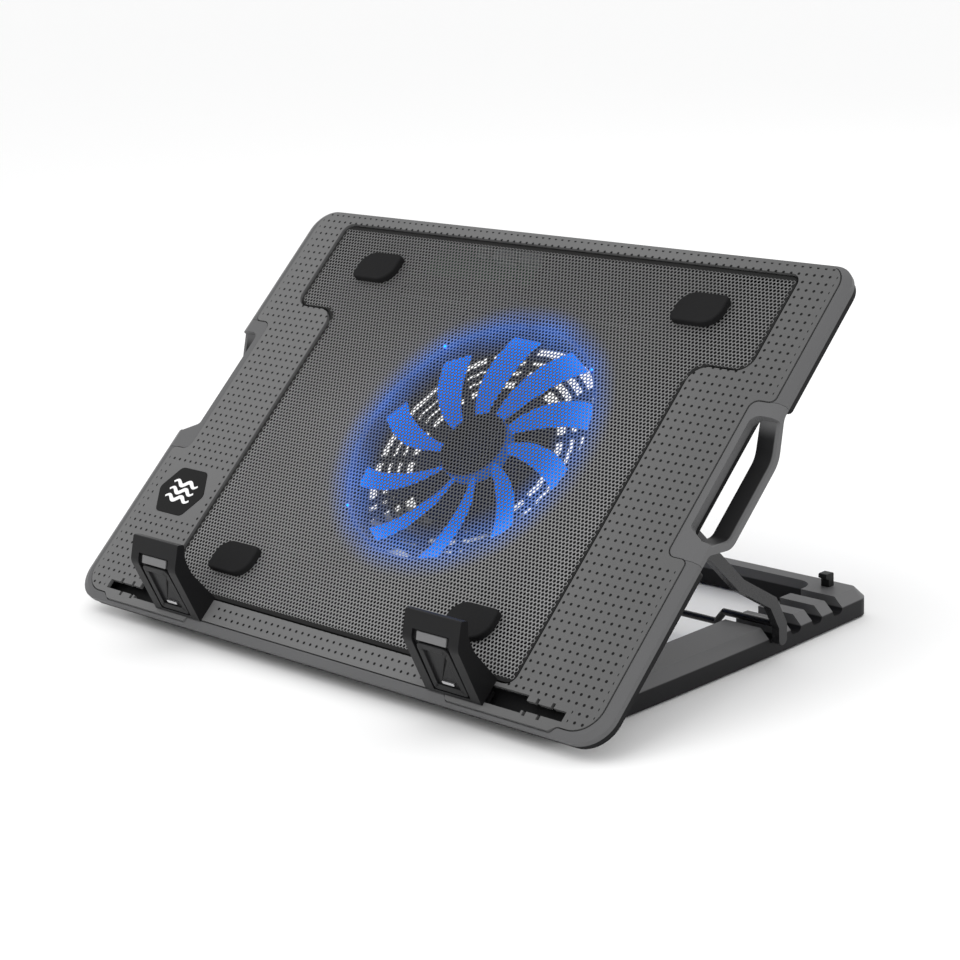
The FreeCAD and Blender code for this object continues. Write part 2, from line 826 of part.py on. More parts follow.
def usb_tongues():
    low = socket_low + usb_height / 2
    return Part.makeCompound([
        block(x - 5.0, x + 5.0, case_rear - usb_depth + 1.0, case_rear - 2.0, low, low + 1.6)
        for x in usb_positions
    ])


def power_inlet():
    height = socket_low + inlet_radius
    barrel = Part.makeCylinder(inlet_radius, 11.8, V(inlet_position, case_rear - 12, height), V(0, 1, 0))
    bore = Part.makeCylinder(inlet_radius - 1.2, 12, V(inlet_position, case_rear - 10, height), V(0, 1, 0))
    pin = Part.makeCylinder(0.6, 8, V(inlet_position, case_rear - 10.5, height), V(0, 1, 0))
    return fuse([barrel.cut(bore), pin])


def switch_slider():
    """The slider is shown at the off end, towards the tray's left edge."""
    x = switch_position - switch_travel / 2
    knob = block(x - switch_width / 2, x + switch_width / 2, case_rear - hub_wall - 0.1, case_rear + 1.6,
                 socket_middle - switch_height / 2, socket_middle + switch_height / 2)
    flange = block(x - switch_width / 2 - 2.4, x + switch_width / 2 + 2.4, case_rear - hub_wall - 1.3,
                   case_rear - hub_wall - 0.1, socket_middle - switch_height / 2 - 0.9,
                   socket_middle + switch_height / 2 + 0.9)
    return fuse([knob, flange])


# ---- stoppers ----
def stopper_right():
    lift = stopper_lift
    hook = profile_along_x([
        (stopper_foot_v, lift, 0.6),
        (stopper_brow_v, stopper_brow_n, 6),
        (stopper_lip_v, stopper_lip_n, 1.2),
        (27.9, 36.3, 1.2),
        (22.4, 30.4, 8),
        (19.4, 22.0, 14),
        (18.5, lift, 0.6),
    ], stopper_u - stopper_width / 2, stopper_u + stopper_width / 2)
    foot = V(stopper_foot_v, lift, 0)
    face = V(stopper_brow_v, stopper_brow_n, 0) - foot
    along = V(face.x, face.y, 0).normalize()
    inward = V(along.y, -along.x, 0)
    brow = foot + face
    lip = (V(stopper_lip_v, stopper_lip_n, 0) - brow).normalize()
    lip_inward = V(lip.y, -lip.x, 0)
    corners = [
        foot + along * stopper_recess_start - inward * 4,
        foot + along * stopper_recess_start + inward * stopper_recess_depth,
        brow + along * -0.4 + inward * stopper_recess_depth,
        brow + lip * stopper_recess_over + lip_inward * stopper_recess_depth,
        brow + lip * stopper_recess_over - lip_inward * 6,
        brow - inward * 8,
    ]
    half_recess = stopper_recess_width / 2
    recess = profile_along_x([(c.x, c.y, 0) for c in corners],
                             stopper_u - half_recess, stopper_u + half_recess)
    stem_half = slot_width / 2 - 0.3
    stem = block(stopper_u - stem_length / 2, stopper_u + stem_length / 2,
                 slot_v - stem_half, slot_v + stem_half,
                 -plate_thickness - 0.3 - slider_thickness, lift + 1.0)
    slider = block(stopper_u - slider_length / 2, stopper_u + slider_length / 2, slot_v - 3.4, slot_v + 3.4,
                   -plate_thickness - 0.3 - slider_thickness, -plate_thickness - 0.3)
    return fuse([hook.cut(recess), stem, slider])


# ---- base frame ----
base_cavity = 2.6


def base_outline(grow):
    """The base seen from above, its long sides bowed outwards a little."""
    front, rear = base_front - grow, base_rear + grow
    half = base_half_width + grow
    middle = (front + rear) / 2
    start = V(half, front, 0)
    end = V(half, rear, 0)
    right = Part.Arc(start, V(half + base_bow, middle, 0), end).toShape()
    left = Part.Arc(V(-half, rear, 0), V(-half - base_bow, middle, 0), V(-half, front, 0)).toShape()
    rear_edge = Part.LineSegment(end, V(-half, rear, 0)).toShape()
    front_edge = Part.LineSegment(V(-half, front, 0), start).toShape()
    return Part.Wire([right, rear_edge, left, front_edge])


def groove_places():
    return [crossbar_rest_y + i * groove_pitch for i in range(groove_count)]


def base_frame():
    wire = base_outline(0)
    wire.translate(V(0, 0, base_bottom))
    body = Part.Face(wire).extrude(V(0, 0, base_top - base_bottom))
    upright = [
        e for e in body.Edges
        if abs(e.Vertexes[0].Point.z - e.Vertexes[-1].Point.z) > 5
    ]
    body = body.makeFillet(base_corner, upright)
    top_edges = [e for e in body.Edges if all(abs(p.Point.z - base_top) < 1e-6 for p in e.Vertexes)]
    body = body.makeChamfer(base_bevel, top_edges)
    opening = slab(both_sides([
        (rail_inner, base_front + front_beam, corner_block),
        (rail_inner, base_rear - rear_beam, corner_block),
    ]), base_bottom - 1, base_top + 1)
    cuts = [opening]
    half_groove = groove_width / 2
    for y in groove_places():
        groove = profile_along_x([
            (y - half_groove, groove_floor, 3.0),
            (y + half_groove, groove_floor, 3.0),
            (y + half_groove, base_top + 2, 0),
            (y - half_groove, base_top + 2, 0),
        ], -base_half_width - base_bow - 5, base_half_width + base_bow + 5)
        cuts.append(groove)
    under = base_top - base_cavity
    cuts.append(block(-rail_inner + 6, rail_inner - 6, base_front + 10, base_front + front_beam - base_cavity,
                      base_bottom - 1, under - 4))
    cuts.append(block(-rail_inner + 16, rail_inner - 16, base_rear - rear_beam + base_cavity,
                      base_rear - base_cavity - 2, base_bottom - 1, under - 3))
    lugs = []
    for side in (-1, 1):
        flip = mirrored if side < 0 else (lambda s: s)
        cuts.append(flip(block(rail_inner + base_cavity, base_half_width - base_bevel - 1,
                               base_front + front_beam + 12, crossbar_rest_y - half_groove - base_cavity,
                               base_bottom - 1, under)))
        for x0 in (lug_inner - ear_thickness - 2 * side_clearance - 0.4, lug_outer):
            cuts.append(flip(block(x0, x0 + ear_thickness + 2 * side_clearance + 0.4, base_front - 1,
                                   hinge_y + hinge_knuckle_radius + 2.0,
                                   hinge_z - hinge_knuckle_radius - 1.2, base_top + 3)))
        lug = fuse([
            rod_along_x(hinge_y, hinge_z, lug_radius, lug_inner, lug_outer),
            block(lug_inner, lug_outer, hinge_y - lug_radius, hinge_y + lug_radius, base_top - 6, hinge_z),
        ])
        lugs.append(flip(lug))
        for y in (base_front + 22.0, base_rear - 22.0):
            cuts.append(flip(block(rail_inner + 4, rail_inner + 4 + foot_width, y - foot_length / 2,
                                   y + foot_length / 2, base_bottom - 1, base_bottom + foot_recess)))
    bore = rod_along_x(hinge_y, hinge_z, hinge_pin_radius, -lug_outer - 1, lug_outer + 1)
    return fuse([body.cut(cuts)] + lugs).cut(bore)


def base_feet():
    feet = []
    for side in (-1, 1):
        for y in (base_front + 22.0, base_rear - 22.0):
            foot = block(rail_inner + 4, rail_inner + 4 + foot_width,
                         y - foot_length / 2, y + foot_length / 2,
                         0, base_bottom + foot_recess)
            feet.append(mirrored(foot) if side < 0 else foot)
    return Part.makeCompound(feet)


def latch_hooks():
    y = base_rear - rear_beam
    hooks = []
    for side in (-1, 1):
        hook = profile_along_x([
            (y - 2.0, base_top, 0),
            (y + 2.2, base_top, 0),
            (y + 2.2, base_top + hook_height, 1.0),
            (y - 4.4, base_top + hook_height, 1.0),
            (y - 4.4, base_top + hook_height - 2.2, 0),
            (y - 2.0, base_top + hook_height - 3.4, 0),
        ], hook_x - hook_size / 2, hook_x + hook_size / 2)
        hooks.append(mirrored(hook) if side < 0 else hook)
    return Part.makeCompound(hooks)


# ---- prop bail ----
pivot_y = hinge_y + link_length * cosine
pivot_z = hinge_z + link_length * sine
knee_y = 164.0
knee_z = 31.0
leg_end_z = 10.4


def prop_bail():
    pieces = []
    radius = leg_width / 2
    for side in (-1, 1):
        flip = mirrored if side < 0 else (lambda s: s)
        leg = fuse([
            stadium_along_x((pivot_y, pivot_z), (138.7, 46.2), radius, leg_inner, leg_outer),
            stadium_along_x((138.7, 46.2), (knee_y, knee_z), radius, leg_inner, leg_outer),
            stadium_along_x((knee_y, knee_z), (crossbar_rest_y, hinge_z), radius, leg_inner, leg_outer),
            stadium_along_x((crossbar_rest_y, hinge_z), (crossbar_rest_y, leg_end_z), radius,
                            leg_inner, leg_outer),
            rod_along_x(pivot_y, pivot_z, bail_eye_radius, leg_inner, leg_outer),
        ])
        pieces.append(flip(leg))
    inner_x = rail_inner - 4.0
    low_z = hinge_z - crossbar_dip
    path = [
        V(-leg_inner - 1, crossbar_rest_y, hinge_z),
        V(-inner_x, crossbar_rest_y, hinge_z),
        V(-inner_x + 5, crossbar_rest_y, low_z),
        V(inner_x - 5, crossbar_rest_y, low_z),
        V(inner_x, crossbar_rest_y, hinge_z),
        V(leg_inner + 1, crossbar_rest_y, hinge_z),
    ]
    pieces.append(rod_through(path, crossbar_radius))
    bore = rod_along_x(pivot_y, pivot_z, bail_pin_radius + running_clearance, -leg_outer - 1, leg_outer + 1)
    return fuse(pieces).cut(bore)


# ---- assembly ----
tray_pieces = {
    "top_plate": top_plate(),
    "rim_frame": rim_frame(),
    "mesh_panel": mesh_panel(),
    "bottom_shell": bottom_shell(),
    "handle_right": handle_right(),
    "badge": badge(),
    "laptop_pads": laptop_pads(),
    "tray_feet": tray_feet(),
    "shell_screws": shell_screws(),
    "fan_screws": fan_screws(),
    "bail_pins": bail_pins(),
    "fan_frame": fan_frame(),
    "fan_bearing": fan_bearing(),
    "fan_stator": fan_stator(),
    "fan_rotor": fan_rotor(),
    "fan_shaft": fan_shaft(),
    "magnet_ring": magnet_ring(),
    "light_ring": light_ring(),
    "led_lamps": led_lamps(),
    "fan_wires": fan_wires(),
    "control_case": control_case(),
    "controller_board": controller_board(),
    "usb_sockets": usb_sockets(),
    "usb_tongues": usb_tongues(),
    "power_inlet": power_inlet(),
    "switch_slider": switch_slider(),
    "stopper_right": stopper_right(),
    "hinge_pins": hinge_pins(),
}
tray_pieces["handle_left"] = mirrored(tray_pieces["handle_right"])
tray_pieces["stopper_left"] = mirrored(tray_pieces["stopper_right"])

pieces = {name: tilted(shape) for name, shape in tray_pieces.items()}
pieces["base_frame"] = base_frame()
pieces["base_feet"] = base_feet()
pieces["latch_hooks"] = latch_hooks()
pieces["prop_bail"] = prop_bail()

box = FreeCAD.BoundBox()
for shape in pieces.values():
    box.add(shape.optimalBoundingBox(False, False))
shift = V(-(box.XMin + box.XMax) / 2, -(box.YMin + box.YMax) / 2, -box.ZMin)

os.makedirs("parts", exist_ok=True)
for name, shape in sorted(pieces.items()):
    shape.translate(shift)
    shape.exportStep(os.path.join("parts", name + ".step"))
    print("%-17s valid %s solids %d volume %.0f" % (name, shape.isValid(), len(shape.Solids), shape.Volume))


def in_place(v, n):
    """A tray point's y and z in the finished frame."""
    y = hinge_y + (v - hinge_slope_position) * cosine - (n - hinge_depth) * sine + shift.y
    z = hinge_z + (v - hinge_slope_position) * sine + (n - hinge_depth) * cosine + shift.z
    return round(y, 3), round(z, 3)


print("box", [round(x, 2) for x in (box.XLength, box.YLength, box.ZLength)], "shift", tuple(shift))
print("hinge", round(hinge_y + shift.y, 3), round(hinge_z + shift.z, 3))
print("bail pivot", in_place(pivot_v, hinge_depth))
print("fan", in_place(fan_v, blade_top))
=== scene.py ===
# %% [markdown] # Laptop cooling pad: from packed model to finished picture  A cooling pad is a thin sloping tray.
# A fan blows up through its perforated sheet, two stoppers keep the laptop from sliding off, and a wire prop
# holds the tray up from a base. The engineering model already has every piece in its true place, so nothing is
# moved here. What it lacks is finish: the holes in the sheet, the moulded detail on the stoppers, the sign on the
# badge and all the materials. This lesson adds those, one cell at a time.
import bpy, bmesh, json, math
from mathutils import Matrix, Vector


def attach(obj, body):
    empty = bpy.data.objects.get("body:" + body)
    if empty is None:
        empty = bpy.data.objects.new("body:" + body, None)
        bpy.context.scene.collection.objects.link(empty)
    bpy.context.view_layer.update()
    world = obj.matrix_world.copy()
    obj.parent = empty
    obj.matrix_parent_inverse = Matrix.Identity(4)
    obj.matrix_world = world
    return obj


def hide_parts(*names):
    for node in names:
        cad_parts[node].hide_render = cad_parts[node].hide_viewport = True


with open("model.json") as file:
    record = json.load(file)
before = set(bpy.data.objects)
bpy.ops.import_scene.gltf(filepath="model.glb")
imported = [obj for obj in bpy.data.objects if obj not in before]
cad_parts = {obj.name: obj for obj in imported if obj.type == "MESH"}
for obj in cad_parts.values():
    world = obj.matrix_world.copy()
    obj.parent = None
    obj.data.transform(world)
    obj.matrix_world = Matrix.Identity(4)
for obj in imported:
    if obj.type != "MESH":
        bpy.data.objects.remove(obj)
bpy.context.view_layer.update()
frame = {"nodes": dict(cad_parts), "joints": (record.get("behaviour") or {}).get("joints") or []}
nodes = frame["nodes"]

# %% [markdown]
# ## The tray's own axes
#
# The tray leans back, so a dot or a hole has awkward coordinates in the room. It is easier to lay the tray flat in
# the mind: u runs across it, v runs up the slope from the front edge, and n stands out of the plate. All three are
# in millimetres. One matrix then tilts whatever is drawn there about the hinge and scales it to metres. The hinge
# itself is read from the packed joint, so the two models can't drift apart.
# %% A matrix from the flat tray to the room
MM = 0.001
TILT = math.radians(43.0)
HINGE_V, HINGE_N = 21.5, -12.0

joints = {joint["name"]: joint for joint in frame["joints"]}
hinge = Vector(joints["tray_tilt"]["pos_m"])
flat_hinge = Vector((0, -HINGE_V, -HINGE_N)) * MM
tray_axes = (Matrix.Translation(hinge) @ Matrix.Rotation(TILT, 4, "X") @ Matrix.Translation(flat_hinge)
             @ Matrix.Scale(MM, 4))
print("plate's front right corner:", tuple(round(c, 4) for c in tray_axes @ Vector((190, 0, 0))))

# %% [markdown]
# ## Turning a drawing into a piece
#
# Every new piece ends the same way: its bmesh is tilted into the room, becomes an object at the origin and rides a
# body. Blender then works out which side of each face is the outside. The perforated sheet
# skips that, because its faces already point the right way and there are very many of them.
# %% Finish a piece
def new_piece(name, bm, body, find_outside=True):
    """Turns a bmesh drawn in the tray's millimetres into an object that rides a body."""
    bmesh.ops.transform(bm, matrix=tray_axes, verts=bm.verts)
    if find_outside:
        bmesh.ops.recalc_face_normals(bm, faces=bm.faces)
    mesh = bpy.data.meshes.new(name)
    bm.to_mesh(mesh)
    bm.free()
    piece = bpy.data.objects.new(name, mesh)
    bpy.context.scene.collection.objects.link(piece)
    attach(piece, body)
    print(name, "on", body, "faces:", len(mesh.polygons))
    return piece


def extruded(bm, corners, travel):
    """A closed solid swept from a flat outline along one vector. Returns the far face."""
    near = bm.faces.new([bm.verts.new(corner) for corner in corners])
    made = bmesh.ops.extrude_face_region(bm, geom=[near])["geom"]
    bmesh.ops.translate(bm, vec=travel, verts=[part for part in made if isinstance(part, bmesh.types.BMVert)])
    return [part for part in made if isinstance(part, bmesh.types.BMFace)]


print("pieces will be tilted by", round(math.degrees(TILT), 1), "degrees")

# %% [markdown]
# ## Rounded outlines
#
# Moulded plastic and pressed steel have no sharp corners in plan. An outline is written as its few real corners,
# each with a radius, and this helper rounds them. A second helper moves a finished outline in or out, which gives
# the margin of the sheet without writing it twice, and a third tells whether a hole's centre lies inside.
# %% Outline helpers
def rounded(corners, steps=8):
    """Points round a polygon whose corners are (x, y, radius)."""
    line = []
    for i, (x, y, radius) in enumerate(corners):
        here = Vector((x, y))
        back = (Vector(corners[i - 1][:2]) - here).normalized()
        ahead = (Vector(corners[(i + 1) % len(corners)][:2]) - here).normalized()
        half_turn = (math.pi - back.angle(ahead)) / 2
        start = here + back * radius * math.tan(half_turn)
        end = here + ahead * radius * math.tan(half_turn)
        centre = here + (back + ahead).normalized() * radius / math.cos(half_turn)
        first = math.atan2(*(start - centre).yx)
        swing = math.atan2(*(end - centre).yx) - first
        swing = (swing + math.pi) % (2 * math.pi) - math.pi
        for k in range(steps + 1):
            angle = first + swing * k / steps
            line.append(centre + Vector((math.cos(angle), math.sin(angle))) * radius)
    return line


def both_sides(corners):
    """Completes the right half of a symmetric outline."""
    return corners + [(-x, y, radius) for x, y, radius in reversed(corners)]


def grown(line, amount):
    """The same closed outline, moved outwards by an amount."""
    moved = []
    for i, here in enumerate(line):
        along = (line[(i + 1) % len(line)] - line[i - 1]).normalized()
        moved.append(here + Vector((along.y, -along.x)) * amount)
    return moved


def inside(line, x, y):
    """Whether a point lies within a closed outline, by counting the edges to one side of it."""
    odd = False
    for i, a in enumerate(line):
        b = line[i - 1]
        if (a.y > y) != (b.y > y) and x < (b.x - a.x) * (y - a.y) / (b.y - a.y) + a.x:
            odd = not odd
    return odd


sheet_edge = rounded(both_sides([(128.9, 17.3, 6), (128.9, 202, 10), (161.1, 202, 9), (161.1, 261.4, 6)]))
print("the sheet's outline has", len(sheet_edge), "points")

# %% [markdown]
# ## The perforated sheet
#
# The laptop's heat leaves through a steel sheet with thousands of small holes in a honeycomb pattern. A picture of
# holes would look flat and would hide the fan, and cutting each hole with a boolean would take minutes. Instead
# each hole starts as one six-sided cell. The cells are merged into a sheet, each is inset to leave a rib round it,
# inset again downwards to give the rib its thickness, and the floor of each hole is deleted. Six sides look round
# at this size and keep the mesh light. The whole sheet is cut into four strips, so that no piece is too heavy.
#
# A real sheet isn't quite flat: a shallow band is pressed in front of the fan and behind it to stiffen it.
# %% Sizes and pressed steps of the sheet
HOLE_PITCH, ROW_PITCH = 2.30, 1.99
CELL_RADIUS, HOLE_RADIUS = HOLE_PITCH / math.sqrt(3), 0.98
RIB = (CELL_RADIUS - HOLE_RADIUS) * math.cos(math.radians(30))
SHEET_TOP = -0.92
SHEET_THICKNESS = 0.35
SHEET_FRONT, STRIP_LENGTH, STRIPS = 15, 62, 4
MIDDLE_ROW_V = 139.35
SHEET_MARGIN = 2.8
COLUMNS = 71
SAME_CORNER = 0.05


def step(value, edge, width=1.2):
    """0 before an edge, 1 after it, with a soft slope between."""
    t = max(0.0, min(1.0, (value - edge) / width + 0.5))
    return t * t * (3 - 2 * t)


def pressed(u, v):
    """How far the pressed band and the two short ledges lie under the flat sheet."""
    side = abs(u)
    band = (1 - step(side, 34)) * step(v, 68) * (1 - step(v, 215))
    rows = step(v, 219) - step(v, 226) + step(v, 56) - step(v, 61)
    ledges = step(side, 39) * (1 - step(side, 89)) * rows
    return -0.35 * band - 0.3 * ledges


print("each cell keeps a rib of", round(RIB, 3), "mm round its hole")


# %% [markdown]
# Only one cell is made from nothing. It is copied along a row, and the row is copied up the strip. Every second row
# is shifted by half a pitch, which makes the honeycomb. Cells whose centres lie outside the margin are deleted.
# %% Perforate four strips
def copied(bm, faces, shift):
    """Copies faces, moves the copies and returns them."""
    made = bmesh.ops.duplicate(bm, geom=faces)["geom"]
    bmesh.ops.translate(bm, vec=shift, verts=[part for part in made if isinstance(part, bmesh.types.BMVert)])
    return [part for part in made if isinstance(part, bmesh.types.BMFace)]


def honeycomb(rows):
    """Six-sided cells side by side, one row of them for each row number."""
    bm = bmesh.new()
    bmesh.ops.create_circle(bm, cap_ends=True, segments=6, radius=CELL_RADIUS)
    pattern = bm.faces[:]
    one_row = []
    for column in range(-COLUMNS, COLUMNS + 1):
        one_row += copied(bm, pattern, (column * HOLE_PITCH, 0, SHEET_TOP))
    for row in rows:
        copied(bm, one_row, (0.5 * (row % 2) * HOLE_PITCH, MIDDLE_ROW_V + row * ROW_PITCH, 0))
    bmesh.ops.delete(bm, geom=pattern + one_row, context="FACES")
    return bm


def perforated_strip(index):
    low = SHEET_FRONT + STRIP_LENGTH * index - MIDDLE_ROW_V
    bm = honeycomb(range(math.ceil(low / ROW_PITCH), math.ceil((low + STRIP_LENGTH) / ROW_PITCH)))
    edge = grown(sheet_edge, -SHEET_MARGIN)
    outside = [cell for cell in bm.faces if not inside(edge, *cell.calc_center_median().xy)]
    bmesh.ops.delete(bm, geom=outside, context="FACES")
    bmesh.ops.remove_doubles(bm, verts=bm.verts, dist=SAME_CORNER)
    bm.normal_update()
    cells = bm.faces[:]
    if cells[0].normal.z < 0:
        bmesh.ops.reverse_faces(bm, faces=cells)
    bmesh.ops.inset_individual(bm, faces=cells, thickness=RIB, use_even_offset=True)
    bmesh.ops.inset_individual(bm, faces=cells, thickness=0.0, depth=-SHEET_THICKNESS)
    bmesh.ops.delete(bm, geom=cells, context="FACES")
    for corner in bm.verts:
        corner.co.z += pressed(corner.co.x, corner.co.y)
    return new_piece("mesh_strip_%d" % index, bm, "tray", find_outside=False)


strips = [perforated_strip(index) for index in range(STRIPS)]
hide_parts("mesh_panel")
print("triangles in the sheet:", sum(2 * len(strip.data.polygons) for strip in strips))

# %% [markdown]
# ## The sheet's margin
#
# Round the holes the sheet has a plain margin, which is folded down under the plate. It could be one flat ring, but
# the fold is what draws the dark line round the sheet, and the margin is painted near black as painted shadow in
# that gap. The margin grows from one loop of edges. Each extrusion starts where the last one ended, and its new
# corners are then moved to the next outline, at another size and height. That gives the lip, the flat, the fold and
# the flange in one open strip.
# %% Fold the margin
def folded_margin():
    lip, flat, under = -1.5, -1.02, -2.3
    steps = ((-4.2, lip), (-4.2, flat), (-1.3, flat), (-1.3, under), (0.6, under))
    outlines = [[Vector((*point, height)) for point in grown(sheet_edge, amount)] for amount, height in steps]
    bm = bmesh.new()
    corners = [bm.verts.new(point) for point in outlines[0]]
    edges = [bm.edges.new((corners[i - 1], corners[i])) for i in range(len(corners))]
    for here, ahead in zip(outlines, outlines[1:]):
        place = {tuple(start): end for start, end in zip(here, ahead)}
        made = bmesh.ops.extrude_edge_only(bm, edges=edges)["geom"]
        edges = [part for part in made if isinstance(part, bmesh.types.BMEdge)]
        for corner in (part for part in made if isinstance(part, bmesh.types.BMVert)):
            corner.co = place[tuple(corner.co)]
    return new_piece("mesh_border", bm, "tray")


mesh_border = folded_margin()

# %% [markdown]
# ## The stoppers' front faces
#
# A stopper is the only part a hand touches often, so its moulding is worth a closer look: a raised frame round a
# long slot, a pale grip ledge where the face turns back at the brow, and a small bright bar near the foot. These
# could be painted on, but they catch the light, so they are thin solids with softened edges. They are drawn in the
# plane of the sloping face, where "across" is u and "along" climbs from the foot to the brow.
# %% The sloping face's plane
STOPPER_U = 101.0
FACE_FOOT = Vector((0, 3.6, 0.15))
FACE_BROW = Vector((0, 13.8, 32.0))
FACE_LIP = Vector((0, 25.2, 39.6))
RECESS_START, RECESS_FLOOR = 2.4, -1.4

up_face = (FACE_BROW - FACE_FOOT).normalized()
out_of_face = Vector((0, -up_face.z, up_face.y))
face_length = (FACE_BROW - FACE_FOOT).length
print("a stopper's face is", round(face_length, 1), "mm long")


def on_face(side, across, along, out):
    return Vector((STOPPER_U * side + across, 0, 0)) + FACE_FOOT + up_face * along + out_of_face * out


def stopper_piece(name, bm, side):
    body = "stopper_left" if side < 0 else "stopper_right"
    return new_piece(name + body.removeprefix("stopper"), bm, body)


# %% [markdown]
# The frame is a plate on the recess's floor. Its top is inset twice, once to leave the rim and once downwards to
# sink the slot, and a small bevel softens every sharp edge, as a mould would.
# %% Raised frame and bright bar
SHARP = 0.6


def soften(bm, amount, segments=2):
    sharp = [edge for edge in bm.edges if len(edge.link_faces) == 2 and edge.calc_face_angle(0.0) > SHARP]
    bmesh.ops.bevel(bm, geom=sharp, offset=amount, offset_type="OFFSET", segments=segments, profile=0.5,
                    affect="EDGES", material=-1)


def stopper_frame(side):
    rim, top, low, high = 3.6, face_length - 1.6, RECESS_FLOOR + 0.05, -0.1
    corners = [(-11.2, RECESS_START + 0.6, 2), (11.2, RECESS_START + 0.6, 2), (10.4, top, 3.4), (-10.4, top, 3.4)]
    bm = bmesh.new()
    outline = [on_face(side, point.x, point.y, low) for point in rounded(corners, 5)]
    face = extruded(bm, outline, out_of_face * (high - low))
    bmesh.ops.inset_region(bm, faces=face, thickness=rim, depth=0.0)
    bmesh.ops.inset_region(bm, faces=face, thickness=0.3, depth=low - high + 0.15)
    soften(bm, 0.25)
    return stopper_piece("stopper_frame", bm, side)


def stopper_bar(side):
    half, low_edge, high_edge = 4.0, RECESS_START + 5.4, RECESS_START + 7.0
    low, high = RECESS_FLOOR + 0.1, -0.2
    corners = [(-half, low_edge, 0.7), (half, low_edge, 0.7), (half, high_edge, 0.7), (-half, high_edge, 0.7)]
    bm = bmesh.new()
    outline = [on_face(side, point.x, point.y, low) for point in rounded(corners, 4)]
    extruded(bm, outline, out_of_face * (high - low))
    soften(bm, 0.15)
    return stopper_piece("stopper_bar", bm, side)


frames = [stopper_frame(side) for side in (-1, 1)]
bars = [stopper_bar(side) for side in (-1, 1)]

# %% [markdown]
# The ledge follows the bend at the brow. Its section is drawn from the side at both ends and the two are joined,
# then all its edges are rounded, because a thumb pushes against it. It is set back a little so that it stays
# within the stopper.
# %% Grip ledge
def stopper_ledge(side):
    half, thick, set_back = 9.6, 1.2, 0.5
    lip = (FACE_LIP - FACE_BROW).normalized()
    into_lip = Vector((0, lip.z, -lip.y))
    low = FACE_FOOT + up_face * (face_length - 0.5)
    high = FACE_BROW + lip * 4.0
    section = [low, high, high + into_lip * thick, low - out_of_face * thick]
    bm = bmesh.new()
    near, far = [[bm.verts.new(Vector((STOPPER_U * side + x, 0, 0)) + corner - out_of_face * set_back)
                  for corner in section] for x in (-half, half)]
    for i in range(len(section)):
        bm.faces.new((near[i - 1], near[i], far[i], far[i - 1]))
    bm.faces.new(near)
    bm.faces.new(far[::-1])
    bmesh.ops.bevel(bm, geom=bm.edges[:], offset=0.35, offset_type="OFFSET", segments=3, profile=0.5,
                    affect="EDGES", material=-1)
    return stopper_piece("stopper_ledge", bm, side)


ledges = [stopper_ledge(side) for side in (-1, 1)]

# %% [markdown]
# ## The badge's sign
#
# The six-sided badge carries a white sign. Three wavy strokes are a common sign for moving air. Each is a
# sine curve given a width that swells in the middle, then raised a little so that it reads as a printed layer.
# %% Three wavy strokes
BADGE_U, BADGE_V = -155.4, 72.7
STROKE_POINTS = 24


def wavy_stroke(height):
    """The outline of one stroke: its upper side, then its lower side back again."""
    length, swing, half_width = 20.0, 1.4, 1.25
    line = []
    for k in range(STROKE_POINTS + 1):
        t = k / STROKE_POINTS
        line.append(Vector((length * (t - 0.5), height + swing * math.sin(t * 4 * math.pi))))
    upper, lower = [], []
    for k, here in enumerate(line):
        along = (line[min(k + 1, STROKE_POINTS)] - line[max(k - 1, 0)]).normalized()
        swell = math.sin(math.pi * min(max(k / STROKE_POINTS, 0.06), 0.94)) ** 0.4
        outwards = Vector((-along.y, along.x)) * half_width * swell
        upper.append(here + outwards)
        lower.append(here - outwards)
    return upper + lower[::-1]


def badge_sign():
    spacing, low, high = 4.8, 0.15, 0.3
    bm = bmesh.new()
    for row in (-1, 0, 1):
        outline = [Vector((BADGE_U + p.x, BADGE_V + p.y, low)) for p in wavy_stroke(row * spacing)]
        extruded(bm, outline, Vector((0, 0, high - low)))
    return new_piece("badge_glyph", bm, "tray")


sign = badge_sign()

# %% [markdown]
# ## Writing shader maths as formulas
#
# A pattern such as a grid of dimples is easy to say as a formula and tiresome to wire by hand. This small class
# wraps a node's socket, so that u * u + v * v adds the Math nodes by itself. Each operator has its reflected form,
# so that 1 - mask works too. Every node, of whatever kind, is made by the one method add_node.
# %% A socket that can be calculated with
def add_node(tree, kind, settings=None, sockets=None):
    """Adds a node: its type, its settings, then a value or a link for each socket named."""
    node = tree.nodes.new(kind)
    for key, value in (settings or {}).items():
        setattr(node, key, value)
    for key, value in (sockets or {}).items():
        if isinstance(value, Sock):
            tree.links.new(value.out, node.inputs[key])
        else:
            node.inputs[key].default_value = value
    return node


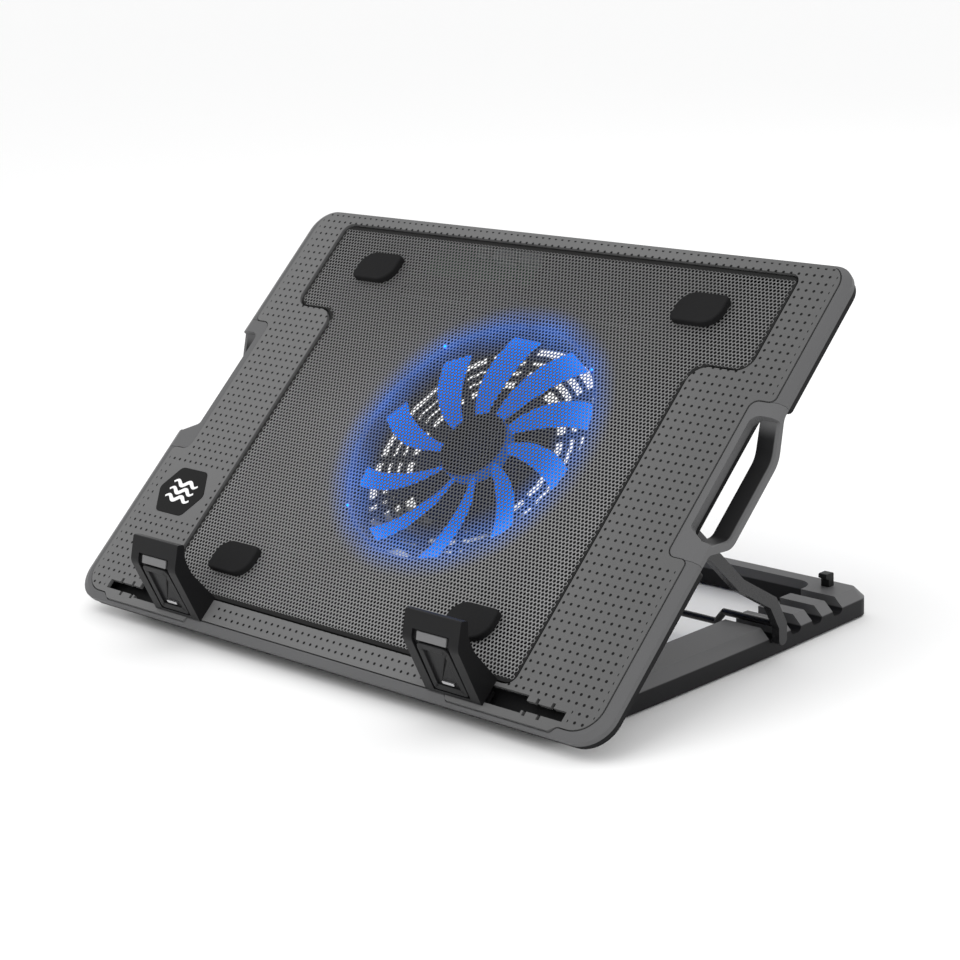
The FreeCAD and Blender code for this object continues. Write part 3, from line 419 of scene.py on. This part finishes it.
class Sock:
    """A node's output that can be added, multiplied and compared."""
    def __init__(self, tree, out):
        self.tree = tree
        self.out = out

    def math(self, kind, *values):
        node = add_node(self.tree, "ShaderNodeMath", {"operation": kind}, dict(enumerate(values)))
        return Sock(self.tree, node.outputs[0])

    def __add__(self, other):
        return self.math("ADD", self, other)

    def __radd__(self, other):
        return self.math("ADD", other, self)

    def __sub__(self, other):
        return self.math("SUBTRACT", self, other)

    def __rsub__(self, other):
        return self.math("SUBTRACT", other, self)

    def __mul__(self, other):
        return self.math("MULTIPLY", self, other)

    def __rmul__(self, other):
        return self.math("MULTIPLY", other, self)

    def __truediv__(self, other):
        return self.math("DIVIDE", self, other)

    def __rtruediv__(self, other):
        return self.math("DIVIDE", other, self)

    def __gt__(self, other):
        return self.math("GREATER_THAN", self, other)

    def __lt__(self, other):
        return self.math("LESS_THAN", self, other)

    def abs(self):
        return self.math("ABSOLUTE", self)

    def root(self):
        return self.math("SQRT", self)

    def smaller(self, other):
        return self.math("MINIMUM", self, other)

    def larger(self, other):
        return self.math("MAXIMUM", self, other)

    def wrap(self, period):
        """What is left over within each period, so that a pattern repeats."""
        return self - self.math("FLOOR", self / period) * period

    def ramp(self, low, high):
        """0 below low, 1 above high, smooth between."""
        node = add_node(self.tree, "ShaderNodeMapRange", {"interpolation_type": "SMOOTHSTEP"},
                        {"Value": self, "From Min": low, "From Max": high})
        return Sock(self.tree, node.outputs["Result"])


print("operators:", sorted(name for name in vars(Sock) if name.startswith("__r")))

# %% [markdown]
# ## One finish
#
# A finish is a Principled shader with a few patterns behind it. All patterns read Object coordinates, which are
# metres in the piece's own mesh, so they stay put when the tray tilts or the fan turns. Dark moulded plastic
# reflects little at its fine grain, so its specular level is low; metal keeps the full one.
# %% The Paint class
METAL_SPECULAR, PLASTIC_SPECULAR = 0.5, 0.12


class Paint:
    """One material: a Principled shader and the patterns that feed it."""
    def __init__(self, name, color, rough=0.5, metal=0.0):
        self.mat = bpy.data.materials.new(name)
        self.mat.use_nodes = True
        self.tree = self.mat.node_tree
        self.shader = self.tree.nodes["Principled BSDF"]
        self.mat.diffuse_color = (*color, 1.0)
        self.same("Base Color", (*color, 1.0))
        self.same("Roughness", rough)
        self.same("Metallic", metal)
        self.same("Specular IOR Level", METAL_SPECULAR if metal else PLASTIC_SPECULAR)

    def same(self, socket_name, value):
        """A value that is the same all over the piece."""
        self.shader.inputs[socket_name].default_value = value

    def feed(self, socket_name, value):
        """A value that changes over the piece."""
        self.tree.links.new(value.out, self.shader.inputs[socket_name])

    def place(self):
        return Sock(self.tree, add_node(self.tree, "ShaderNodeTexCoord").outputs["Object"])

    def noise(self, scale, detail=3.0, stretch=(1, 1, 1)):
        mapped = add_node(self.tree, "ShaderNodeMapping", None, {"Vector": self.place(), "Scale": stretch})
        made = add_node(self.tree, "ShaderNodeTexNoise", None, {
            "Vector": Sock(self.tree, mapped.outputs[0]), "Scale": scale, "Detail": detail, "Roughness": 0.5})
        return Sock(self.tree, made.outputs[0])

    def blend(self, factor, first, second):
        """A colour that goes from first to second as factor goes from 0 to 1."""
        first, second = (c if isinstance(c, Sock) else (*c, 1.0) for c in (first, second))
        mix = add_node(self.tree, "ShaderNodeMix", {"data_type": "RGBA"}, {0: factor, 6: first, 7: second})
        return Sock(self.tree, mix.outputs[2])

    def bump(self, height, distance, strength=1.0):
        made = add_node(self.tree, "ShaderNodeBump", None,
                        {"Height": height, "Strength": strength, "Distance": distance})
        self.feed("Normal", Sock(self.tree, made.outputs[0]))

    def metres(self):
        parts = add_node(self.tree, "ShaderNodeSeparateXYZ", None, {"Vector": self.place()})
        return [Sock(self.tree, parts.outputs[i]) for i in range(3)]

    def tray_place(self):
        """u, v and n in millimetres: the tray's axes worked back from the piece's own."""
        x, y, z = self.metres()
        y = (y - hinge.y) * 1000.0
        z = (z - hinge.z) * 1000.0
        sine, cosine = math.sin(TILT), math.cos(TILT)
        return x * 1000.0, y * cosine + z * sine + HINGE_V, z * cosine - y * sine + HINGE_N


print("specular level of metal and plastic:", METAL_SPECULAR, PLASTIC_SPECULAR)


# %% [markdown]
# One short function hands a finish to its pieces. A packed piece is named by its node, a new piece is given itself.
# %% Hand a finish out
def put(paint, *pieces):
    """Gives a finish to packed nodes, by name, or to new pieces."""
    for piece in pieces:
        data = nodes[piece].data if isinstance(piece, str) else piece.data
        data.materials.clear()
        data.materials.append(paint.mat)
    print(paint.mat.name, "on", len(pieces))


print("packed pieces to dress:", len(nodes))

# %% [markdown]
# ## Plain plastic, rubber and metal
#
# Even a plain black moulding varies: its tone drifts over a hand's width, its gloss follows, and its surface has a
# fine spark-eroded grain. One function gives all three to every moulded piece, with the grain made coarser for
# rubber. Metal gets streaks instead, stretched along the direction in which it was drawn or turned.
# %% Two everyday finishes
BROAD_TONE = 14.0


def plastic(name, color, rough=0.48, amount=0.08, grain=1100.0, relief=0.00003):
    paint = Paint(name, color, rough)
    fine = paint.noise(grain)
    broad = paint.noise(BROAD_TONE, 4.0)
    dark = [c * (1 - amount) for c in color]
    light = [min(1.0, c * (1 + amount)) for c in color]
    paint.feed("Base Color", paint.blend(broad, dark, light))
    paint.feed("Roughness", broad * 0.10 + fine * 0.06 + (rough - 0.08))
    paint.bump(fine, relief, 0.5)
    return paint


def metal(name, color, rough=0.3, stretch=(1, 1, 1)):
    paint = Paint(name, color, rough, 1.0)
    streaks = paint.noise(600.0, 2.0, stretch)
    paint.feed("Base Color", paint.blend(streaks, [c * 0.85 for c in color], color))
    paint.feed("Roughness", streaks * 0.15 + (rough - 0.06))
    return paint


put(plastic("rim_grey", (0.105, 0.105, 0.107), 0.46), "rim_frame")
put(plastic("shell_black", (0.008, 0.008, 0.0085), 0.6), "bottom_shell", "control_case")
# Painted shadow: the sheet's margin is painted near black to draw the shadow gap round the sheet.
put(plastic("mesh_margin_painted_shadow", (0.010, 0.010, 0.010), 0.5), mesh_border)
put(plastic("rubber_pad", (0.012, 0.012, 0.0125), 0.85, 0.35, 420.0, 0.0003), "laptop_pads")
put(plastic("rubber_foot", (0.014, 0.014, 0.014), 0.75, 0.2, 500.0, 0.0001), "tray_feet", "base_feet")

# %% [markdown]
# ## The dotted plate
#
# The grey plate is covered with a square grid of small dimples. As geometry that would be thousands of tiny cups, too
# small to shape the outline, so they are a pattern: the distance from the nearest grid point gives a round dot that
# sinks the surface and is painted near black, as painted shade in the dimple. Masks keep the dots off the margins,
# the stopper slots, the handles and the badge, as on the moulding. The plate is also painted darker towards the
# right, as painted shade on the side away from the lights.
# %% Dimples on a grid
DOT_PITCH = 4.6
DOT_START_V = 13.3
DOT_RADIUS, DOT_FADE = 0.62, 0.86
WHOLE_PITCHES = 60


def dimple_shade_mask(u, v, n):
    """1 at each dimple, 0 between them and wherever the plate is plain; it sinks each dimple and places its painted
    shade.
    """
    shift = DOT_PITCH * WHOLE_PITCHES
    across = (u + shift).wrap(DOT_PITCH) - DOT_PITCH / 2
    along = (v - DOT_START_V + DOT_PITCH / 2 + shift).wrap(DOT_PITCH) - DOT_PITCH / 2
    dimples_and_shade = 1.0 - (across * across + along * along).root().ramp(DOT_RADIUS, DOT_FADE)
    side = u.abs()
    on_plate = (side < 181.5) * (v > 7.0) * (v < 266.5) * (n > -0.4)
    by_slots = (v < 16.6) * (side > 78.0) * (side < 168.0)
    by_handles = (v > 95.0) * (v < 192.0) * (side > 169.0)
    from_badge = ((u - BADGE_U).abs() * 0.86).larger((v - BADGE_V).abs() * 1.05)
    return dimples_and_shade * on_plate * (1.0 - by_slots) * (1.0 - by_handles) * (from_badge > 18.4)


def plate_paint():
    paint = Paint("plate_grey", (0.125, 0.125, 0.125), 0.5)
    u, v, n = paint.tray_place()
    dimples_and_shade = dimple_shade_mask(u, v, n)
    fine = paint.noise(1400.0)
    broad = paint.noise(10.0, 4.0)
    body = paint.blend(broad, (0.128, 0.128, 0.129), (0.152, 0.152, 0.152))
    # Painted shade: the plate is painted darker towards the right, away from the lights.
    body = paint.blend(u.ramp(60.0, 190.0) * 0.4, body, (0.05, 0.05, 0.05))
    # Painted shade: each dimple is painted near black.
    paint.feed("Base Color", paint.blend(dimples_and_shade, body, (0.003, 0.003, 0.003)))
    paint.feed("Roughness", broad * 0.10 + fine * 0.05 + 0.36)
    paint.bump(fine * 0.08 - dimples_and_shade, 0.0006, 0.9)
    return paint


put(plate_paint(), "top_plate")

# %% [markdown]
# ## Two mouldings with painted shade
#
# The handles are grey where they meet the rim and painted nearly black down in the grip, as painted shade inside the
# loop. The base is grey on top and painted black on its outer walls and in the grooves, as painted shade on the faces
# that turn away from the light. Two materials on one mesh would need its faces sorted by hand. A soft
# ramp on the height does it in one material, and it moves with the piece.
# %% Handles and base
def shaded_moulding(name, preview, mask, upper, lower):
    """A moulding that goes from upper to lower where the mask, a function of its paint, is 1; lower is painted shade.
    """
    paint = Paint(name, preview, 0.46)
    fine = paint.noise(1100.0)
    paint.feed("Base Color", paint.blend(mask(paint), upper, lower))
    paint.feed("Roughness", fine * 0.08 + 0.42)
    paint.bump(fine, 0.00003, 0.5)
    return paint


# Painted shade: the grip is painted darker the deeper it lies below the plate.
def grip_shade(paint):
    u, v, n = paint.tray_place()
    return (0.0 - n).ramp(3.0, 9.0) * (1.0 - u.abs().ramp(187.6, 188.6))


# Painted shade: the base is painted black below its top, on the outer walls and in the grooves.
def wall_shade(paint):
    x, y, z = paint.metres()
    return 1.0 - (z * 1000.0).ramp(9.6, 10.6)


put(shaded_moulding("handle_grey", (0.10, 0.10, 0.102), grip_shade, (0.115, 0.115, 0.117), (0.009, 0.009, 0.0095)),
    "handle_left", "handle_right")
put(shaded_moulding("base_grey", (0.11, 0.11, 0.112), wall_shade, (0.120, 0.120, 0.122), (0.012, 0.012, 0.013)),
    "base_frame")

# %% [markdown]
# ## Paint and blue glow on the sheet
#
# The sheet is sprayed grey and is painted darker towards the rear, as painted shade. Above the fan, light from the
# lamps spills onto the ribs. Real scattered light through thousands of holes needs very many samples to look clean,
# so the spill is painted as a soft, slightly uneven ring of emission, and the ribs over the fan are painted dark, as
# painted shade, which lets the blades show through.
# %% The sheet's finish
FAN_U, FAN_V = 9.0, 143.5
GLOW_U, GLOW_V = 17.0, 140.0
GLOW_RADIUS = 70.0


def distance_from(u, v, centre_u, centre_v):
    across, along = u - centre_u, v - centre_v
    return (across * across + along * along).root()


def sheet_paint():
    paint = Paint("mesh_paint", (0.17, 0.17, 0.172), 0.45, 0.2)
    fine = paint.noise(1500.0)
    broad = paint.noise(12.0, 4.0)
    u, v, n = paint.tray_place()
    far = distance_from(u, v, GLOW_U, GLOW_V)
    spray_and_shade = paint.blend(broad, (0.190, 0.190, 0.191), (0.250, 0.250, 0.251))
    # Painted shade: the sheet is painted darker towards the rear.
    spray_and_shade = paint.blend(v.ramp(90.0, 270.0) * 0.55, spray_and_shade, (0.06, 0.06, 0.06))
    # Painted shade: the ribs over the fan are painted dark so that the blades show through.
    fan_shade = 1.0 - far.ramp(60.0, 84.0)
    paint.feed("Base Color", paint.blend(fan_shade * 0.72, spray_and_shade, (0.022, 0.024, 0.030)))
    ring = far.ramp(50.0, GLOW_RADIUS) * (1.0 - far.ramp(GLOW_RADIUS, 86.0))
    glow = ring * (paint.noise(45.0, 2.0) * 1.3 + 0.15)
    paint.feed("Emission Color", paint.blend(glow.smaller(1.0), (0, 0, 0), (0.0, 0.130, 0.60)))
    paint.same("Emission Strength", 0.75)
    paint.feed("Roughness", broad * 0.12 + 0.34)
    paint.bump(fine, 0.00002, 0.4)
    return paint


put(sheet_paint(), "mesh_panel", *strips)

# %% [markdown]
# ## The lit fan
#
# The blades are clear blue plastic lit from the rim, so they glow more towards their tips, and the hub in the
# middle is dark. Translucent plastic over lamps is slow to render and noisy through the sheet. An emission that
# grows with the distance from the shaft looks the same and turns with the rotor.
# %% Blades, light ring and lamps
def blade_paint():
    paint = Paint("blade_blue", (0.0, 0.03, 0.06), 0.6)
    u, v, n = paint.tray_place()
    far = distance_from(u, v, FAN_U, FAN_V)
    blade = far.ramp(19.0, 21.0)
    light = 0.55 + far.ramp(18.0, 74.0) * 0.35 + paint.noise(60.0) * 0.1
    paint.feed("Base Color", paint.blend(blade, (0.010, 0.010, 0.011), (0.0, 0.03, 0.30)))
    paint.feed("Emission Color", paint.blend(blade * light, (0, 0, 0), (0.0, 0.155, 0.80)))
    paint.same("Emission Strength", 1.7)
    paint.same("Specular IOR Level", 0.0)
    return paint


def lamp(name, color, strength):
    paint = Paint(name, color, 0.35)
    paint.feed("Emission Color", paint.blend(paint.noise(40.0), [c * 0.8 for c in color], color))
    paint.same("Emission Strength", strength)
    return paint


put(blade_paint(), "fan_rotor")
put(lamp("light_ring_blue", (0.0, 0.03, 0.16), 0.5), "light_ring")
put(lamp("led_blue", (0.0, 0.12, 1.0), 8.0), "led_lamps")

# %% [markdown]
# ## Badge, stoppers and prop
#
# The badge is gloss black under a white sign. The stoppers are satin black with a pale ledge and a bright metal bar.
# The prop is a bent rod with a thick glossy coat, so it reflects more than the mouldings do.
# %% Finishes that a hand meets
put(plastic("badge_black", (0.004, 0.004, 0.004), 0.3, 0.1, 300.0, 0.00001), "badge")
put(plastic("badge_white", (0.85, 0.85, 0.85), 0.35, 0.03), sign)
put(plastic("stopper_black", (0.010, 0.010, 0.0105), 0.36), "stopper_left", "stopper_right", *frames)
put(plastic("stopper_ledge_grey", (0.16, 0.16, 0.162), 0.4), *ledges)
put(metal("stopper_bar", (0.55, 0.55, 0.56), 0.35), *bars)
prop_coat = plastic("bail_black", (0.012, 0.012, 0.013), 0.26)
prop_coat.same("Specular IOR Level", 0.4)
put(prop_coat, "prop_bail")
put(plastic("hook_black", (0.012, 0.012, 0.012), 0.4), "latch_hooks")

# %% [markdown]
# ## What is inside
#
# The motor, the sockets and the board are seen only from behind or through the sheet, but they still get the metal
# or plastic that they would have, so that a view from any side holds up.
# %% Fasteners, fan motor and electronics
put(metal("black_screw", (0.06, 0.06, 0.06), 0.4), "shell_screws", "fan_screws")
put(metal("pin_steel", (0.50, 0.50, 0.51), 0.28, (1, 8, 8)), "hinge_pins", "bail_pins", "fan_shaft")
put(metal("socket_steel", (0.60, 0.60, 0.60), 0.3), "usb_sockets", "power_inlet")
put(metal("bearing_brass", (0.55, 0.40, 0.18), 0.35), "fan_bearing")
put(metal("copper_coil", (0.50, 0.20, 0.08), 0.4, (1, 12, 1)), "fan_stator")
put(plastic("magnet_dark", (0.04, 0.04, 0.04), 0.6), "magnet_ring")
put(plastic("fan_black", (0.006, 0.006, 0.0065), 0.6), "fan_frame")
put(plastic("wire_black", (0.012, 0.012, 0.012), 0.5), "fan_wires")
put(plastic("board_green", (0.004, 0.022, 0.010), 0.35), "controller_board")
put(plastic("socket_black", (0.02, 0.02, 0.02), 0.45), "usb_tongues", "switch_slider")

# %% [markdown]
# ## A white studio
#
# Black and dark grey plastic needs a bright surround, or it has nothing to reflect. A pale floor and an even white
# sky give the clean background. Three large area lights add soft shadows: one from the front, one from behind to
# light the rear edge, and a faint one from the right.
# %% Floor and sky
FLOOR_HALF = 6.0
floor_bm = bmesh.new()
bmesh.ops.create_grid(floor_bm, x_segments=1, y_segments=1, size=FLOOR_HALF)
floor_mesh = bpy.data.meshes.new("studio_floor")
floor_bm.to_mesh(floor_mesh)
floor_bm.free()
floor = bpy.data.objects.new("studio_floor", floor_mesh)
bpy.context.scene.collection.objects.link(floor)
put(Paint("floor_pale", (0.94, 0.94, 0.94), 0.7), floor)

world = bpy.data.worlds.new("studio_world")
bpy.context.scene.world = world
world.use_nodes = True
sky = world.node_tree.nodes["Background"]
sky.inputs["Color"].default_value = (1.0, 1.0, 1.0, 1.0)
sky.inputs["Strength"].default_value = 1.02
print("floor is", 2 * FLOOR_HALF, "m wide")


# %% [markdown]
# A large lamp close by gives soft edges to its shadow. Each is aimed at the middle of the pad, a little above
# the floor.
# %% Soft lights
def soft_light(name, place, size, watts):
    data = bpy.data.lights.new(name, "AREA")
    data.shape = "SQUARE"
    data.size = size
    data.energy = watts
    light = bpy.data.objects.new(name, data)
    bpy.context.scene.collection.objects.link(light)
    light.location = place
    aim = Vector((0, 0, 0.08)) - Vector(place)
    light.rotation_euler = aim.to_track_quat("-Z", "Y").to_euler()
    print(name, "is", round(aim.length, 2), "m away")


soft_light("key_light", (0.1, -0.9, 1.3), 1.0, 6.0)
soft_light("back_light", (0.3, 1.5, 1.0), 1.2, 6.0)
soft_light("fill_light", (1.5, -0.6, 0.8), 1.0, 0.5)

# %% [markdown]
# ## The camera
#
# A product view from the front right, a little above, shows the sheet, one handle and the prop at once. A long
# lens from over a metre away keeps the tray's edges nearly parallel. The Standard view transform keeps the
# greys as they were chosen.
# %% Place the camera
camera_data = bpy.data.cameras.new("product_camera")
camera_data.lens = 88.2
camera_data.sensor_width = 36.0
camera = bpy.data.objects.new("product_camera", camera_data)
bpy.context.scene.collection.objects.link(camera)
camera.location = hinge + Vector((0.8330, -0.7431, 0.3709))
camera.rotation_euler = [math.radians(angle) for angle in (75.252, 2.115, 43.962)]
bpy.context.scene.camera = camera
bpy.context.scene.view_settings.view_transform = "Standard"
print("camera at", tuple(round(c, 3) for c in camera.location))
